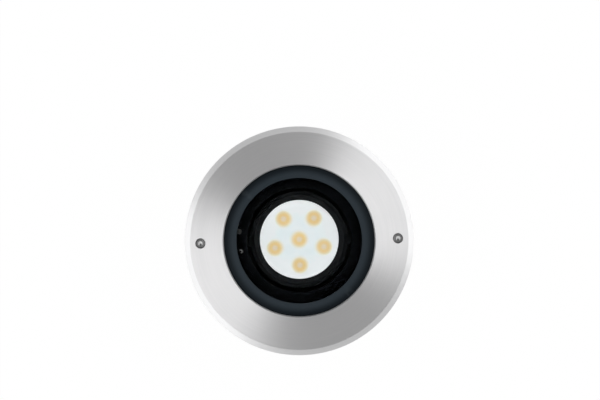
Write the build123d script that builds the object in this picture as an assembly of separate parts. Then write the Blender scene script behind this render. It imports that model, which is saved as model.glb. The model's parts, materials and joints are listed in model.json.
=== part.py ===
from build123d import *
import os
from math import atan, cos, degrees, radians, sin, tan

os.makedirs("parts", exist_ok=True)

# An in-ground well light. Z is up and the origin is the middle of the pot's flat underside.
# Heights inside the light are written as depths below the top face of the trim.

# Driving sizes, in millimetres and degrees
trim_diameter = 200.0
overall_height = 165.0

# Fits that several pieces share, and how far a fused piece runs into the one that it joins
running_fit = 0.05
loose_fit = 0.1
seat_gap = 0.3
fuse = 1.0

# Trim ring and its screws
trim_thickness = 6.0
trim_width = 34.0
trim_bevel_width = 5.2
trim_bevel_drop = 2.4
opening_bevel = 0.9
screw_head_diameter = 8.5
screw_head_height = 3.5
screw_socket_width = 4.0
screw_socket_depth = 2.1
screw_diameter = 5.0
screw_length = 16.0
head_clearance = 0.35
shank_clearance = 0.3
head_recess = 0.2
trim_gasket_thickness = 1.0
trim_gasket_width = 11.0
trim_gasket_inset = 1.0

# Installation pot
flange_overhang = 4.0
pot_flange_thickness = 4.0
pot_wall = 3.2
pot_floor = 3.0
ledge_width = 6.0
neck_clearance = 1.0
boss_wall = 1.6
boss_length = 25.0
boss_standoff = 0.4
insert_wall = 1.3
insert_length = 12.0
anchor_ring_width = 7.0
anchor_ring_thickness = 3.0
anchor_ring_height = 48.0
gusset_count = 12
gusset_thickness = 2.4
gusset_drop = 13.0
gusset_inset = 2.0
conduit_diameter = 25.0
conduit_clearance = 0.2
conduit_stop_diameter = 21.0
conduit_stop_thickness = 2.2
conduit_socket_depth = 18.0
conduit_wall = 3.0
conduit_height = 27.0
conduit_collar_width = 3.5
conduit_collar_thickness = 3.0
conduit_boss_height = 0.8
conduit_boss_margin = 1.0
socket_draft = 1.0
knockout_thickness = 1.5
drain_length = 22.0
drain_width = 6.0
drain_count = 4
drain_circle = 76.0
cable_opening_diameter = 24.0
anchor_hole_diameter = 6.6
anchor_hole_count = 4
anchor_hole_circle = 116.0

# Glass, gasket and bezel
glass_thickness = 10.0
glass_rebate = 4.5
gasket_thickness = 1.0
gasket_width = 5.0
gasket_wall = 1.8
glass_seat_inset = 0.5
gasket_clearance = 0.2
bezel_gap = 0.4
bezel_recess = 2.0
bezel_slope = 2.3
bezel_width = 10.6
bezel_roof = 1.2
bezel_flange_width = 12.5
bezel_flange_thickness = 3.0
bezel_screw_count = 4
bezel_screw_diameter = 4.0
bezel_head_diameter = 7.0
bezel_head_height = 2.2
bezel_screw_length = 10.0

# Lamp housing
can_flange_margin = 0.5
can_flange_thickness = 9.0
can_wall = 4.0
can_floor = 4.0
pan_ledge_width = 4.0
rib_count = 12
rib_thickness = 3.0
rib_reach = 10.0
rib_drop = 10.0
rib_taper = 4.0
rib_corner = 6.0
rib_inner_radius = 24.0

# Pan ring and what it carries
pan_clearance = 0.5
pan_ring_width = 7.5
pan_ring_thickness = 2.7
ring_below_pivot = 12.0
snap_ring_thickness = 1.3
snap_ring_width = 2.9
snap_groove_depth = 1.0
snap_ring_gap = 8.0
ear_gusset_height = 5.0
ear_thickness = 3.0
ear_width = 13.0
ear_foot_width = 21.0
ear_tab_thickness = 1.6
ear_gap = 2.5
baffle_thickness = 1.2
baffle_clearance = 0.6
baffle_above_pivot = 10.0
pointer_angle = 170.5
lock_screw_angle = 189.5
lock_screw_diameter = 3.0
lock_head_diameter = 4.8
lock_head_height = 1.8
lock_socket_width = 2.0
lock_socket_depth = 1.1
lock_screw_inset = 4.4
pointer_thickness = 2.4
pointer_width = 4.6
pointer_height = 1.4

# Lamp head
tilt_limit = 15.0
swing_clearance = 1.1
head_radius_margin = 6.0
rim_above_pivot = 2.0
collar_height = 10.0
barrel_step = 3.0
rim_width = 4.0
rim_chamfer = 0.6
disc_margin = 8.4
disc_thickness = 2.0
disc_below_pivot = 4.0
disc_clearance = 0.3
lens_diameter = 20.0
lens_exit_diameter = 8.4
lens_height = 9.0
lens_ring_count = 5
lens_edge_margin = 12.3
lens_plate_thickness = 1.4
lens_plate_margin = 0.2
lens_facets = 12
led_size = 3.5
led_height = 0.7
board_thickness = 1.6
sink_base = 5.0
sink_fin_height = 12.6
sink_fin_inset = 3.0
sink_fin_count = 9
sink_fin_thickness = 1.8
pivot_diameter = 4.0
pivot_head_diameter = 7.0
pivot_head_height = 2.2
pivot_boss_diameter = 10.0
pivot_depth_in_head = 3.2

# Driver and entries
tray_thickness = 1.5
tray_below_head = 2.0
tray_boss_diameter = 9.0
driver_length = 66.0
driver_width = 36.0
driver_height = 18.0
driver_chamfer = 2.0
driver_offset = 12.0
driver_clearance = 6.4
terminal_length = 30.0
terminal_width = 16.0
terminal_height = 14.0
terminal_offset = 24.0
terminal_entry_width = 5.0
terminal_entry_depth = 3.0
terminal_entry_inset = 4.0
gland_thread_diameter = 20.0
gland_hex = 24.0
gland_hex_height = 6.0
gland_body_length = 16.0
dome_nut_length = 17.0
dome_nut_crown = 5.0
gland_cable_diameter = 8.0
gland_cable_clearance = 1.0
gland_wall = 1.6
vent_thread_diameter = 12.0
vent_hex = 14.0
vent_hex_height = 5.0
vent_circle = 38.0
lead_hole_diameter = 9.0
lead_hole_place = 30.0
tray_clearance = 0.6
tray_width = 84.0

# Radii, from the rim inwards
trim_radius = trim_diameter / 2
opening_radius = trim_radius - trim_width
bezel_radius = opening_radius - bezel_gap
bezel_inner_radius = bezel_radius - bezel_width
glass_radius = opening_radius - glass_rebate
gasket_radius = glass_radius + gasket_wall
pocket_radius = gasket_radius + gasket_clearance
bezel_flange_radius = opening_radius + bezel_flange_width
can_flange_radius = bezel_flange_radius + can_flange_margin
neck_radius = can_flange_radius + neck_clearance
flange_radius = trim_radius - flange_overhang
bore_radius = pocket_radius - gasket_width - glass_seat_inset
can_radius = bore_radius + can_wall
lower_bore_radius = bore_radius - pan_ledge_width
pan_ring_radius = bore_radius - pan_clearance
pan_ring_inner_radius = pan_ring_radius - pan_ring_width
head_radius = pan_ring_inner_radius - head_radius_margin
ear_radius = head_radius + ear_gap
barrel_radius = head_radius - barrel_step
disc_radius = head_radius - disc_margin
lens_circle_radius = disc_radius - lens_edge_margin
lens_plate_radius = lens_circle_radius + lens_diameter / 2 + lens_plate_margin
body_radius = neck_radius - ledge_width
conduit_boss_face = body_radius + pot_wall + conduit_boss_height
spigot_end = body_radius + knockout_thickness + seat_gap
conduit_mouth = spigot_end + conduit_stop_thickness + conduit_socket_depth
conduit_bore_radius = conduit_diameter / 2 + conduit_clearance
sleeve_radius = conduit_bore_radius + conduit_wall
collar_radius = sleeve_radius + conduit_collar_width
lock_screw_radius = pan_ring_radius - lock_screw_inset

# Depths below the trim's top face
gasket_bottom = trim_thickness + trim_gasket_thickness
flange_bottom = gasket_bottom + pot_flange_thickness
bezel_flange_top = trim_thickness + seat_gap + bezel_head_height
bezel_flange_bottom = bezel_flange_top + bezel_flange_thickness
bezel_inner_top = bezel_recess + bezel_slope
glass_top = bezel_inner_top + bezel_roof + gasket_thickness
glass_bottom = glass_top + glass_thickness
glass_seat = glass_bottom + gasket_thickness
can_flange_bottom = bezel_flange_bottom + can_flange_thickness
swing_rise = head_radius * sin(radians(tilt_limit)) + rim_above_pivot * cos(radians(tilt_limit))
pivot_depth = glass_seat + swing_clearance + swing_rise
head_rim = pivot_depth - rim_above_pivot
baffle_top = pivot_depth - baffle_above_pivot
baffle_bottom = baffle_top + baffle_thickness
disc_top = pivot_depth + disc_below_pivot
disc_bottom = disc_top + disc_thickness
lens_bottom = disc_bottom + seat_gap + lens_height
board_top = lens_bottom + led_height + seat_gap
board_bottom = board_top + board_thickness
sink_bottom = board_bottom + sink_base
fin_bottom = sink_bottom + sink_fin_height
pan_ring_top = pivot_depth + ring_below_pivot
pan_ring_bottom = pan_ring_top + pan_ring_thickness
pan_ledge = pan_ring_bottom + seat_gap
fin_circle_radius = barrel_radius - sink_fin_inset
fin_swing = (fin_bottom - pivot_depth) * cos(radians(tilt_limit))
swing_depth = pivot_depth + fin_swing + fin_circle_radius * sin(radians(tilt_limit))
tray_top = swing_depth + tray_below_head
tray_bottom = tray_top + tray_thickness
can_floor_top = tray_bottom + driver_height + driver_clearance
can_bottom = can_floor_top + can_floor
rib_bottom = can_bottom + rib_drop
pot_floor_top = overall_height - pot_floor
insert_top = gasket_bottom + seat_gap
screw_seat = screw_head_height + head_recess

gland_spigot_radius = gland_thread_diameter / 2 - gland_wall / 2

# Circles of screws, inserts and holes
shank_radius = screw_diameter / 2
insert_bore_radius = shank_radius + shank_clearance
insert_radius = insert_bore_radius + insert_wall
boss_radius = insert_radius + boss_wall
screw_circle_radius = neck_radius + boss_radius + boss_standoff
bezel_screw_circle_radius = (opening_radius + can_flange_radius) / 2
tray_screw_circle_radius = lower_bore_radius - tray_boss_diameter / 2 + fuse

min_z = (Align.CENTER, Align.CENTER, Align.MIN)


def level(depth):
    return overall_height - depth


def turned(*outline):
    """A solid of revolution about Z from (radius, depth) corners."""
    corners = [(radius, level(depth)) for radius, depth in outline]
    return revolve(make_face(Plane.XZ * Polyline(*corners, close=True)), Axis.Z)


def rod(radius, top, bottom):
    return Pos(0, 0, level(bottom)) * Cylinder(radius, bottom - top, align=min_z)


def ring(outer, inner, top, bottom):
    return rod(outer, top, bottom) - rod(inner, top, bottom)


def hex_prism(width, top, bottom):
    face = RegularPolygon(width / 2, 6, major_radius=False)
    return Pos(0, 0, level(bottom)) * extrude(face, bottom - top)


def block(length, width, top, bottom):
    return Pos(0, 0, level(bottom)) * Box(length, width, bottom - top, align=min_z)


def around(radius, count, shape, start=0.0):
    return [place * shape for place in PolarLocations(radius, count, start)]


def on_screws(shape):
    return around(screw_circle_radius, 2, shape)


def save(shape, node):
    export_step(shape, f"parts/{node}.step")


def trim_ring():
    body = turned(
        (opening_radius + opening_bevel, 0),
        (trim_radius - trim_bevel_width, 0),
        (trim_radius, trim_bevel_drop),
        (trim_radius, trim_thickness),
        (opening_radius, trim_thickness),
        (opening_radius, opening_bevel),
    )
    counterbore = rod(screw_head_diameter / 2 + head_clearance, 0, screw_seat)
    shank_hole = rod(insert_bore_radius, screw_seat, trim_thickness)
    return body - on_screws(counterbore + shank_hole)


def trim_screws():
    head = rod(screw_head_diameter / 2, head_recess, screw_seat)
    socket = hex_prism(screw_socket_width, head_recess, head_recess + screw_socket_depth)
    shank = rod(shank_radius, screw_seat, screw_seat + screw_length)
    return Compound(on_screws(head + shank - socket))


def trim_gasket():
    outer = flange_radius - trim_gasket_inset
    band = ring(outer, outer - trim_gasket_width, trim_thickness, gasket_bottom)
    return band - on_screws(rod(insert_radius, trim_thickness, gasket_bottom))


def threaded_inserts():
    insert = ring(insert_radius, insert_bore_radius, insert_top, insert_top + insert_length)
    return Compound(on_screws(insert))


def along_conduit(radius, start, end):
    """A cylinder on the rear conduit's axis, between two distances from the middle of the pot."""
    return Pos(0, end, conduit_height) * Rot(90, 0, 0) * Cylinder(radius, end - start, align=min_z)


def sleeve_seat(start):
    """The drafted hole for a sleeve, from the boss's face in to a distance from the middle of the pot."""
    narrowing = tan(radians(socket_draft))
    inner = sleeve_radius + seat_gap - (spigot_end - start) * narrowing
    outer = sleeve_radius + seat_gap + (conduit_boss_face - spigot_end) * narrowing
    place = Pos(0, conduit_boss_face, conduit_height) * Rot(90, 0, 0)
    return place * Cone(outer, inner, conduit_boss_face - start, align=min_z)


def conduit_sockets():
    """Plug-in sleeves with a collar against the pot's boss and a stop at the end of the bore."""
    sleeve = along_conduit(sleeve_radius, spigot_end, conduit_mouth)
    collar_end = conduit_boss_face + conduit_collar_thickness
    sleeve += along_conduit(collar_radius, conduit_boss_face, collar_end)
    sleeve -= along_conduit(conduit_bore_radius, spigot_end + conduit_stop_thickness, conduit_mouth)
    sleeve -= along_conduit(conduit_stop_diameter / 2, spigot_end, conduit_mouth)
    return Compound([sleeve, Rot(0, 0, 180) * sleeve])


def installation_pot():
    outer_radius = body_radius + pot_wall
    shoulder = can_flange_bottom + pot_wall
    shell = turned(
        (0, overall_height),
        (outer_radius, overall_height),
        (outer_radius, shoulder),
        (neck_radius + pot_wall, shoulder),
        (neck_radius + pot_wall, flange_bottom),
        (flange_radius, flange_bottom),
        (flange_radius, gasket_bottom),
        (neck_radius, gasket_bottom),
        (neck_radius, can_flange_bottom),
        (body_radius, can_flange_bottom),
        (body_radius, pot_floor_top),
        (0, pot_floor_top),
    )
    anchor_depth = overall_height - anchor_ring_height
    anchor_top = anchor_depth - anchor_ring_thickness
    anchor = ring(outer_radius + anchor_ring_width, outer_radius - fuse, anchor_top, anchor_depth)
    wall_middle = neck_radius + pot_wall / 2
    gusset_outline = Plane.XZ * Polyline(
        (wall_middle, level(flange_bottom - fuse)),
        (flange_radius - gusset_inset, level(flange_bottom - fuse)),
        (flange_radius - gusset_inset, level(flange_bottom + gusset_inset)),
        (wall_middle, level(flange_bottom + gusset_drop)),
        close=True,
    )
    gusset = extrude(make_face(gusset_outline), gusset_thickness / 2, both=True)
    first_gusset = 180 / gusset_count
    boss_bottom = flange_bottom + boss_length
    boss = rod(boss_radius, flange_bottom - fuse, boss_bottom)
    web_reach = screw_circle_radius - body_radius
    web = Pos(-web_reach / 2, 0, 0) * block(web_reach, boss_radius, shoulder, boss_bottom)
    conduit_boss = along_conduit(collar_radius + conduit_boss_margin, body_radius + fuse, conduit_boss_face)
    conduit_boss -= rod(outer_radius - fuse, 0, overall_height)
    pocket = sleeve_seat(spigot_end - seat_gap)
    passage = sleeve_seat(body_radius - sleeve_radius / 2)
    pot = shell + anchor + around(0, gusset_count, gusset, first_gusset) + on_screws(boss + web)
    pot += [conduit_boss, Rot(0, 0, 180) * conduit_boss]
    pot -= [passage, Rot(0, 0, 180) * pocket]
    insert_hole = rod(insert_radius, gasket_bottom, insert_top + insert_length)
    screw_well = rod(insert_bore_radius, gasket_bottom, boss_bottom - boss_wall)
    pot -= on_screws(insert_hole + screw_well)
    drain = block(drain_length, drain_width, pot_floor_top, overall_height)
    anchor_hole = rod(anchor_hole_diameter / 2, pot_floor_top, overall_height)
    pot -= around(drain_circle / 2, drain_count, drain, 45)
    pot -= around(anchor_hole_circle / 2, anchor_hole_count, anchor_hole, 45)
    return pot - rod(cable_opening_diameter / 2, pot_floor_top, overall_height)


def lamp_housing():
    snap_top = pan_ring_top - seat_gap - snap_ring_thickness
    snap_bottom = pan_ring_top - seat_gap
    groove_radius = bore_radius + snap_groove_depth
    step_top = pan_ledge + can_wall
    lower_radius = lower_bore_radius + can_wall
    shell = turned(
        (0, can_floor_top),
        (lower_bore_radius, can_floor_top),
        (lower_bore_radius, pan_ledge),
        (bore_radius, pan_ledge),
        (bore_radius, snap_bottom),
        (groove_radius, snap_bottom),
        (groove_radius, snap_top),
        (bore_radius, snap_top),
        (bore_radius, glass_seat),
        (pocket_radius, glass_seat),
        (pocket_radius, bezel_flange_bottom),
        (can_flange_radius, bezel_flange_bottom),
        (can_flange_radius, can_flange_bottom),
        (can_radius, can_flange_bottom),
        (can_radius, step_top),
        (lower_radius, step_top),
        (lower_radius, can_bottom),
        (0, can_bottom),
    )
    rib_radius = can_radius + rib_reach
    rib_outline = Plane.XZ * Polyline(
        (can_radius - fuse, level(can_flange_bottom - fuse)),
        (rib_radius, level(can_flange_bottom - fuse)),
        (rib_radius - rib_taper, level(rib_bottom - rib_corner)),
        (rib_radius - rib_taper - rib_corner, level(rib_bottom)),
        (rib_inner_radius, level(rib_bottom)),
        (rib_inner_radius, level(can_bottom - fuse)),
        (lower_radius - fuse, level(can_bottom - fuse)),
        (lower_radius - fuse, level(step_top)),
        (can_radius - fuse, level(step_top)),
        close=True,
    )
    rib = extrude(make_face(rib_outline), rib_thickness / 2, both=True)
    post = rod(tray_boss_diameter / 2, tray_bottom, can_floor_top + fuse)
    can = shell + around(0, rib_count, rib, 180 / rib_count)
    can += around(tray_screw_circle_radius, 3, post, 30)
    hole_end = bezel_flange_top + bezel_screw_length + fuse
    screw_hole = rod(bezel_screw_diameter / 2 + running_fit, bezel_flange_bottom, hole_end)
    can -= around(bezel_screw_circle_radius, bezel_screw_count, screw_hole, 45)
    can -= rod(gland_thread_diameter / 2 + running_fit, can_floor_top, can_bottom)
    vent_hole = rod(vent_thread_diameter / 2 + running_fit, can_floor_top, can_bottom)
    return can - Pos(vent_circle, 0, 0) * vent_hole


def glass_lens():
    return rod(glass_radius, glass_top, glass_bottom)


def glass_gasket():
    """A U-shaped silicone channel round the edge of the glass."""
    lip_radius = gasket_radius - gasket_width
    return turned(
        (lip_radius, glass_top - gasket_thickness),
        (gasket_radius, glass_top - gasket_thickness),
        (gasket_radius, glass_seat),
        (lip_radius, glass_seat),
        (lip_radius, glass_bottom),
        (glass_radius, glass_bottom),
        (glass_radius, glass_top),
        (lip_radius, glass_top),
    )


def glass_bezel():
    body = turned(
        (bezel_inner_radius, bezel_inner_top),
        (bezel_radius, bezel_recess),
        (bezel_radius, bezel_flange_top),
        (bezel_flange_radius, bezel_flange_top),
        (bezel_flange_radius, bezel_flange_bottom),
        (pocket_radius, bezel_flange_bottom),
        (pocket_radius, glass_top - gasket_thickness),
        (bezel_inner_radius, glass_top - gasket_thickness),
    )
    hole = rod(bezel_screw_diameter / 2 + shank_clearance, bezel_flange_top, bezel_flange_bottom)
    return body - around(bezel_screw_circle_radius, bezel_screw_count, hole, 45)


def bezel_screws():
    head = rod(bezel_head_diameter / 2, bezel_flange_top - bezel_head_height, bezel_flange_top)
    shank = rod(bezel_screw_diameter / 2, bezel_flange_top, bezel_flange_top + bezel_screw_length)
    return Compound(around(bezel_screw_circle_radius, bezel_screw_count, head + shank, 45))


def ear_plate():
    """An upright plate, wide at the foot, seen along X."""
    outline = Plane.YZ * Polyline(
        (-ear_foot_width / 2, level(pan_ring_bottom)),
        (ear_foot_width / 2, level(pan_ring_bottom)),
        (ear_width / 2, level(baffle_bottom)),
        (-ear_width / 2, level(baffle_bottom)),
        close=True,
    )
    return Pos(ear_radius, 0, 0) * extrude(make_face(outline), ear_thickness)


def pan_ring():
    """The turntable: a flat ring with an ear on each side for the tilt pivots."""
    body = ring(pan_ring_radius, pan_ring_inner_radius, pan_ring_top, pan_ring_bottom)
    foot_length = pan_ring_inner_radius + pan_ring_width / 2 - ear_radius
    middle = Pos(ear_radius + foot_length / 2, 0, 0)
    foot = middle * block(foot_length, ear_foot_width, pan_ring_top, pan_ring_bottom)
    tab = middle * block(foot_length, ear_width, baffle_bottom, baffle_bottom + ear_tab_thickness)
    gusset_outline = Plane.XZ * Polyline(
        (ear_radius + fuse, level(pan_ring_top + fuse)),
        (ear_radius + foot_length, level(pan_ring_top + fuse)),
        (ear_radius + foot_length, level(pan_ring_top)),
        (ear_radius + fuse, level(pan_ring_top - ear_gusset_height)),
        close=True,
    )
    gusset = extrude(make_face(gusset_outline), ear_thickness / 2, both=True)
    ear = ear_plate() + foot + tab + gusset
    eye = along_pivot(pivot_diameter / 2 + running_fit, ear_radius, ear_radius + ear_thickness)
    lock_hole = rod(lock_screw_diameter / 2 + running_fit, pan_ring_top, pan_ring_bottom)
    return body + around(0, 2, ear) - around(0, 2, eye) - at_lock_screw(lock_hole)


def along_pivot(radius, start, end):
    """A round bar on the tilt axis, from one distance along X to another."""
    place = Pos(start, 0, level(pivot_depth)) * Rot(0, 90, 0)
    return place * Cylinder(radius, end - start, align=min_z)


def at_lock_screw(shape):
    return Rot(0, 0, lock_screw_angle) * Pos(lock_screw_radius, 0, 0) * shape


def snap_ring():
    """The retaining ring in the housing's groove, just above the pan ring."""
    outer = bore_radius + snap_groove_depth - loose_fit
    bottom = pan_ring_top - seat_gap
    body = ring(outer, outer - snap_ring_width, bottom - snap_ring_thickness, bottom)
    return body - Pos(0, -outer, 0) * block(snap_ring_gap, 10, bottom - snap_ring_thickness, bottom)


def baffle_plate():
    outer = bore_radius - baffle_clearance
    plate = ring(outer, ear_radius, baffle_top, baffle_bottom)
    return plate - at_lock_screw(rod(lock_screw_diameter / 2 + running_fit, baffle_top, baffle_bottom))


def pan_pointer():
    tab = block(pointer_thickness, pointer_width, baffle_top - pointer_height, baffle_top)
    return Rot(0, 0, pointer_angle) * Pos(lock_screw_radius, 0, 0) * tab


def pan_lock_screw():
    head_top = baffle_top - lock_head_height
    head = rod(lock_head_diameter / 2, head_top, baffle_top)
    socket = hex_prism(lock_socket_width, head_top, head_top + lock_socket_depth)
    shank = rod(lock_screw_diameter / 2, baffle_top, pan_ring_bottom)
    return at_lock_screw(head + shank - socket)


def pivot_screws():
    """Shoulder screws along X from outside each ear into the head."""
    head_start = ear_radius + ear_thickness
    shank = along_pivot(pivot_diameter / 2, head_radius - pivot_depth_in_head, head_start)
    head = along_pivot(pivot_head_diameter / 2, head_start, head_start + pivot_head_height)
    return Compound(around(0, 2, shank + head))


def optic_housing():
    cavity_radius = lens_plate_radius + disc_clearance
    pocket = disc_radius + disc_clearance
    body = turned(
        (head_radius - rim_chamfer, head_rim),
        (head_radius, head_rim + rim_chamfer),
        (head_radius, head_rim + collar_height),
        (barrel_radius, head_rim + collar_height),
        (barrel_radius, board_bottom),
        (cavity_radius, board_bottom),
        (cavity_radius, disc_bottom),
        (pocket, disc_bottom),
        (pocket, disc_top),
        (head_radius - rim_width, head_rim),
    )
    boss = along_pivot(pivot_boss_diameter / 2, head_radius - pivot_depth_in_head, ear_radius - seat_gap)
    boss -= block(4 * head_radius, 4 * head_radius, head_rim - pivot_boss_diameter, head_rim)
    hole = along_pivot(pivot_diameter / 2 + running_fit, head_radius - pivot_depth_in_head, ear_radius)
    return body + around(0, 2, boss) - around(0, 2, hole)


def lens_places(shape):
    """One at the middle and a ring of them, one pointing to -Y."""
    return [shape] + around(lens_circle_radius, lens_ring_count, shape, -90)


def diffuser_disc():
    return rod(disc_radius, disc_top, disc_bottom)


def lens_array():
    """One moulded plate with a faceted collimating cone over each emitter."""
    top = disc_bottom + seat_gap
    plate = rod(lens_plate_radius, top, top + lens_plate_thickness)
    cone_height = lens_height - lens_plate_thickness
    narrowing = (lens_diameter - lens_exit_diameter) / 2
    outline = RegularPolygon(lens_diameter / 2, lens_facets, major_radius=False)
    cone = extrude(outline, cone_height, taper=degrees(atan(narrowing / cone_height)))
    cone = Pos(0, 0, level(top + lens_plate_thickness)) * Rot(180, 0, 0) * cone
    return plate + lens_places(cone)


def led_chips():
    chip = block(led_size, led_size, board_top - led_height, board_top)
    return Compound(lens_places(chip))


def led_board():
    return rod(lens_plate_radius, board_top, board_bottom)


def heat_sink():
    base = rod(barrel_radius, board_bottom, sink_bottom)
    pitch = 2 * fin_circle_radius / sink_fin_count
    fins = []
    for index in range(sink_fin_count):
        fin = block(2 * barrel_radius, sink_fin_thickness, sink_bottom - fuse, fin_bottom)
        fins.append(Pos(0, (index - (sink_fin_count - 1) / 2) * pitch, 0) * fin)
    comb = Compound(fins) & rod(fin_circle_radius, sink_bottom - fuse, fin_bottom)
    return base + comb


def driver_tray():
    """A disc with two flats, open at the sides for the wires."""
    plate = rod(lower_bore_radius - tray_clearance, tray_top, tray_bottom)
    plate &= block(tray_width, 4 * lower_bore_radius, tray_top, tray_bottom)
    lead_hole = rod(lead_hole_diameter / 2, tray_top, tray_bottom)
    return plate - Pos(0, lead_hole_place, 0) * lead_hole


def driver_case():
    case = block(driver_length, driver_width, tray_bottom, tray_bottom + driver_height)
    edges = case.edges().filter_by(Axis.Z) + case.faces().sort_by(Axis.Z)[0].edges()
    return Pos(0, -driver_offset, 0) * chamfer(edges, driver_chamfer)


def terminal_block():
    body = block(terminal_length, terminal_width, tray_bottom, tray_bottom + terminal_height)
    entry_top = tray_bottom + terminal_entry_inset
    entry = block(
        terminal_entry_width, 2 * terminal_entry_depth, entry_top, entry_top + terminal_entry_width
    )
    for index in (-1, 0, 1):
        body -= Pos(index * terminal_length / 3, terminal_width / 2, 0) * entry
    return Pos(0, terminal_offset, 0) * body


def gland_body():
    top = can_floor_top - gland_wall
    hex_bottom = can_bottom + gland_hex_height
    end = can_bottom + gland_body_length
    body = hex_prism(gland_hex, can_bottom, hex_bottom)
    body += rod(gland_thread_diameter / 2, top, can_bottom)
    body += rod(gland_spigot_radius, hex_bottom, end)
    return body - rod(gland_spigot_radius - 2 * gland_wall, top, end)


def gland_seal():
    top = can_bottom + gland_body_length
    bottom = dome_nut_end() - gland_wall
    cable = gland_cable_diameter / 2
    return turned(
        (cable, top),
        (gland_spigot_radius - gland_wall, top),
        (gland_spigot_radius - gland_wall, bottom),
        (cable, bottom),
    )


def dome_nut_end():
    return can_bottom + gland_hex_height + seat_gap + dome_nut_length


def gland_dome_nut():
    top = can_bottom + gland_hex_height + seat_gap
    end = dome_nut_end()
    hex_part = hex_prism(gland_hex, top, end - dome_nut_crown)
    dome = rod(gland_hex / 2 - gland_wall, end - dome_nut_crown, end)
    thread = rod(gland_spigot_radius + loose_fit, top, end - gland_wall)
    mouth = rod(gland_cable_diameter / 2 + gland_cable_clearance, end - gland_wall, end)
    return hex_part + dome - thread - mouth


def vent_plug():
    head = hex_prism(vent_hex, can_bottom, can_bottom + vent_hex_height)
    thread = rod(vent_thread_diameter / 2, can_floor_top, can_bottom)
    return Pos(vent_circle, 0, 0) * (head + thread)


save(installation_pot(), "installation_pot")
save(conduit_sockets(), "conduit_sockets")
save(threaded_inserts(), "threaded_inserts")
save(lamp_housing(), "lamp_housing")
save(snap_ring(), "snap_ring")
save(glass_gasket(), "glass_gasket")
save(glass_lens(), "glass_lens")
save(glass_bezel(), "glass_bezel")
save(bezel_screws(), "bezel_screws")
save(driver_tray(), "driver_tray")
save(driver_case(), "driver_case")
save(terminal_block(), "terminal_block")
save(gland_body(), "gland_body")
save(gland_seal(), "gland_seal")
save(gland_dome_nut(), "gland_dome_nut")
save(vent_plug(), "vent_plug")

save(trim_gasket(), "trim_gasket")
save(trim_ring(), "trim_ring")
save(trim_screws(), "trim_screws")

save(pan_ring(), "pan_ring")
save(baffle_plate(), "baffle_plate")
save(pan_pointer(), "pan_pointer")
save(pan_lock_screw(), "pan_lock_screw")
save(pivot_screws(), "pivot_screws")

save(optic_housing(), "optic_housing")
save(diffuser_disc(), "diffuser_disc")
save(lens_array(), "lens_array")
save(led_chips(), "led_chips")
save(led_board(), "led_board")
save(heat_sink(), "heat_sink")
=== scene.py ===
import json
from math import cos, pi, radians, sin, tan

import bmesh
import bpy
from mathutils import Matrix, Vector


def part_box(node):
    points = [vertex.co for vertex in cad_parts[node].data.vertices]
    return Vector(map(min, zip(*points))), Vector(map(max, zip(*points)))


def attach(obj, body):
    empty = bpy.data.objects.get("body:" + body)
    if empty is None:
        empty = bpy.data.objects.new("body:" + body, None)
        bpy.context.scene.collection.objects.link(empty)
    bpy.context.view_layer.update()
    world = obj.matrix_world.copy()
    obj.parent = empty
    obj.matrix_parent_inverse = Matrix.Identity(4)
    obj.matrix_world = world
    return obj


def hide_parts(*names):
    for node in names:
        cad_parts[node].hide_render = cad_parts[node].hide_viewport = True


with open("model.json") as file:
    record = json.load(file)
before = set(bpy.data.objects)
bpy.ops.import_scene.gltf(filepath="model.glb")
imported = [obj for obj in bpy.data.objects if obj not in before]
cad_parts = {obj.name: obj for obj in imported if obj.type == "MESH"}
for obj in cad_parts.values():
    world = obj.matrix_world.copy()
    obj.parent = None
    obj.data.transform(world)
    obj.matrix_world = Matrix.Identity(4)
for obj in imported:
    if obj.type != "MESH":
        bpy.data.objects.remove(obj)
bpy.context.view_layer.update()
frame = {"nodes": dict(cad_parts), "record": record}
nodes = frame["nodes"]
slotOf = {part["node"]: part["material_slot"] for part in frame["record"]["subparts"]}
print("frame loaded,", len(nodes), "nodes")

mm = 0.001
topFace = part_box("trim_ring")[1].z
scene = bpy.context.scene


class Sizes(dict):
    # a dictionary whose values are read as attributes
    __getattr__ = dict.__getitem__


def heightAt(depth):
    return topFace - depth * mm


def outBy(distance):
    return Matrix.Translation((distance * mm, 0, 0))


def turnBy(degrees, axis="Z"):
    return Matrix.Rotation(radians(degrees), 4, axis)


# small helpers for node trees

def link(tree, value, socket):
    if isinstance(value, bpy.types.NodeSocket):
        tree.links.new(value, socket)
    elif value is not None:
        socket.default_value = value


def add(tree, kind, *values, setup=(), **inputs):
    # a new node, its inputs linked or set by their order or their names
    node = tree.nodes.new(kind)
    for key, value in dict(setup).items():
        setattr(node, key, value)
    for key, value in (*enumerate(values), *inputs.items()):
        link(tree, value, node.inputs[key.replace("_", " ") if isinstance(key, str) else key])
    return node


def calc(tree, operation, *values):
    return add(tree, "ShaderNodeMath", *values, setup={"operation": operation}).outputs[0]


def plus(tree, *values):
    return calc(tree, "ADD", *values)


def minus(tree, *values):
    return calc(tree, "SUBTRACT", *values)


def times(tree, *values):
    return calc(tree, "MULTIPLY", *values)


def vectorCalc(tree, operation, *values):
    node = add(tree, "ShaderNodeVectorMath", *values, setup={"operation": operation})
    return node.outputs["Value" if operation == "LENGTH" else 0]


def splitVector(tree, value):
    return tuple(add(tree, "ShaderNodeSeparateXYZ", value).outputs)


def joinVector(tree, *values):
    return add(tree, "ShaderNodeCombineXYZ", *values).outputs[0]


def awayFrom(tree, place, centre=(0, 0, 0)):
    # how far a place is from an upright line through the centre
    x, y, _ = splitVector(tree, vectorCalc(tree, "SUBTRACT", place, centre))
    return vectorCalc(tree, "LENGTH", joinVector(tree, x, y, 0))


def named(sockets):
    return Sizes((socket.name, socket) for socket in sockets)


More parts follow.
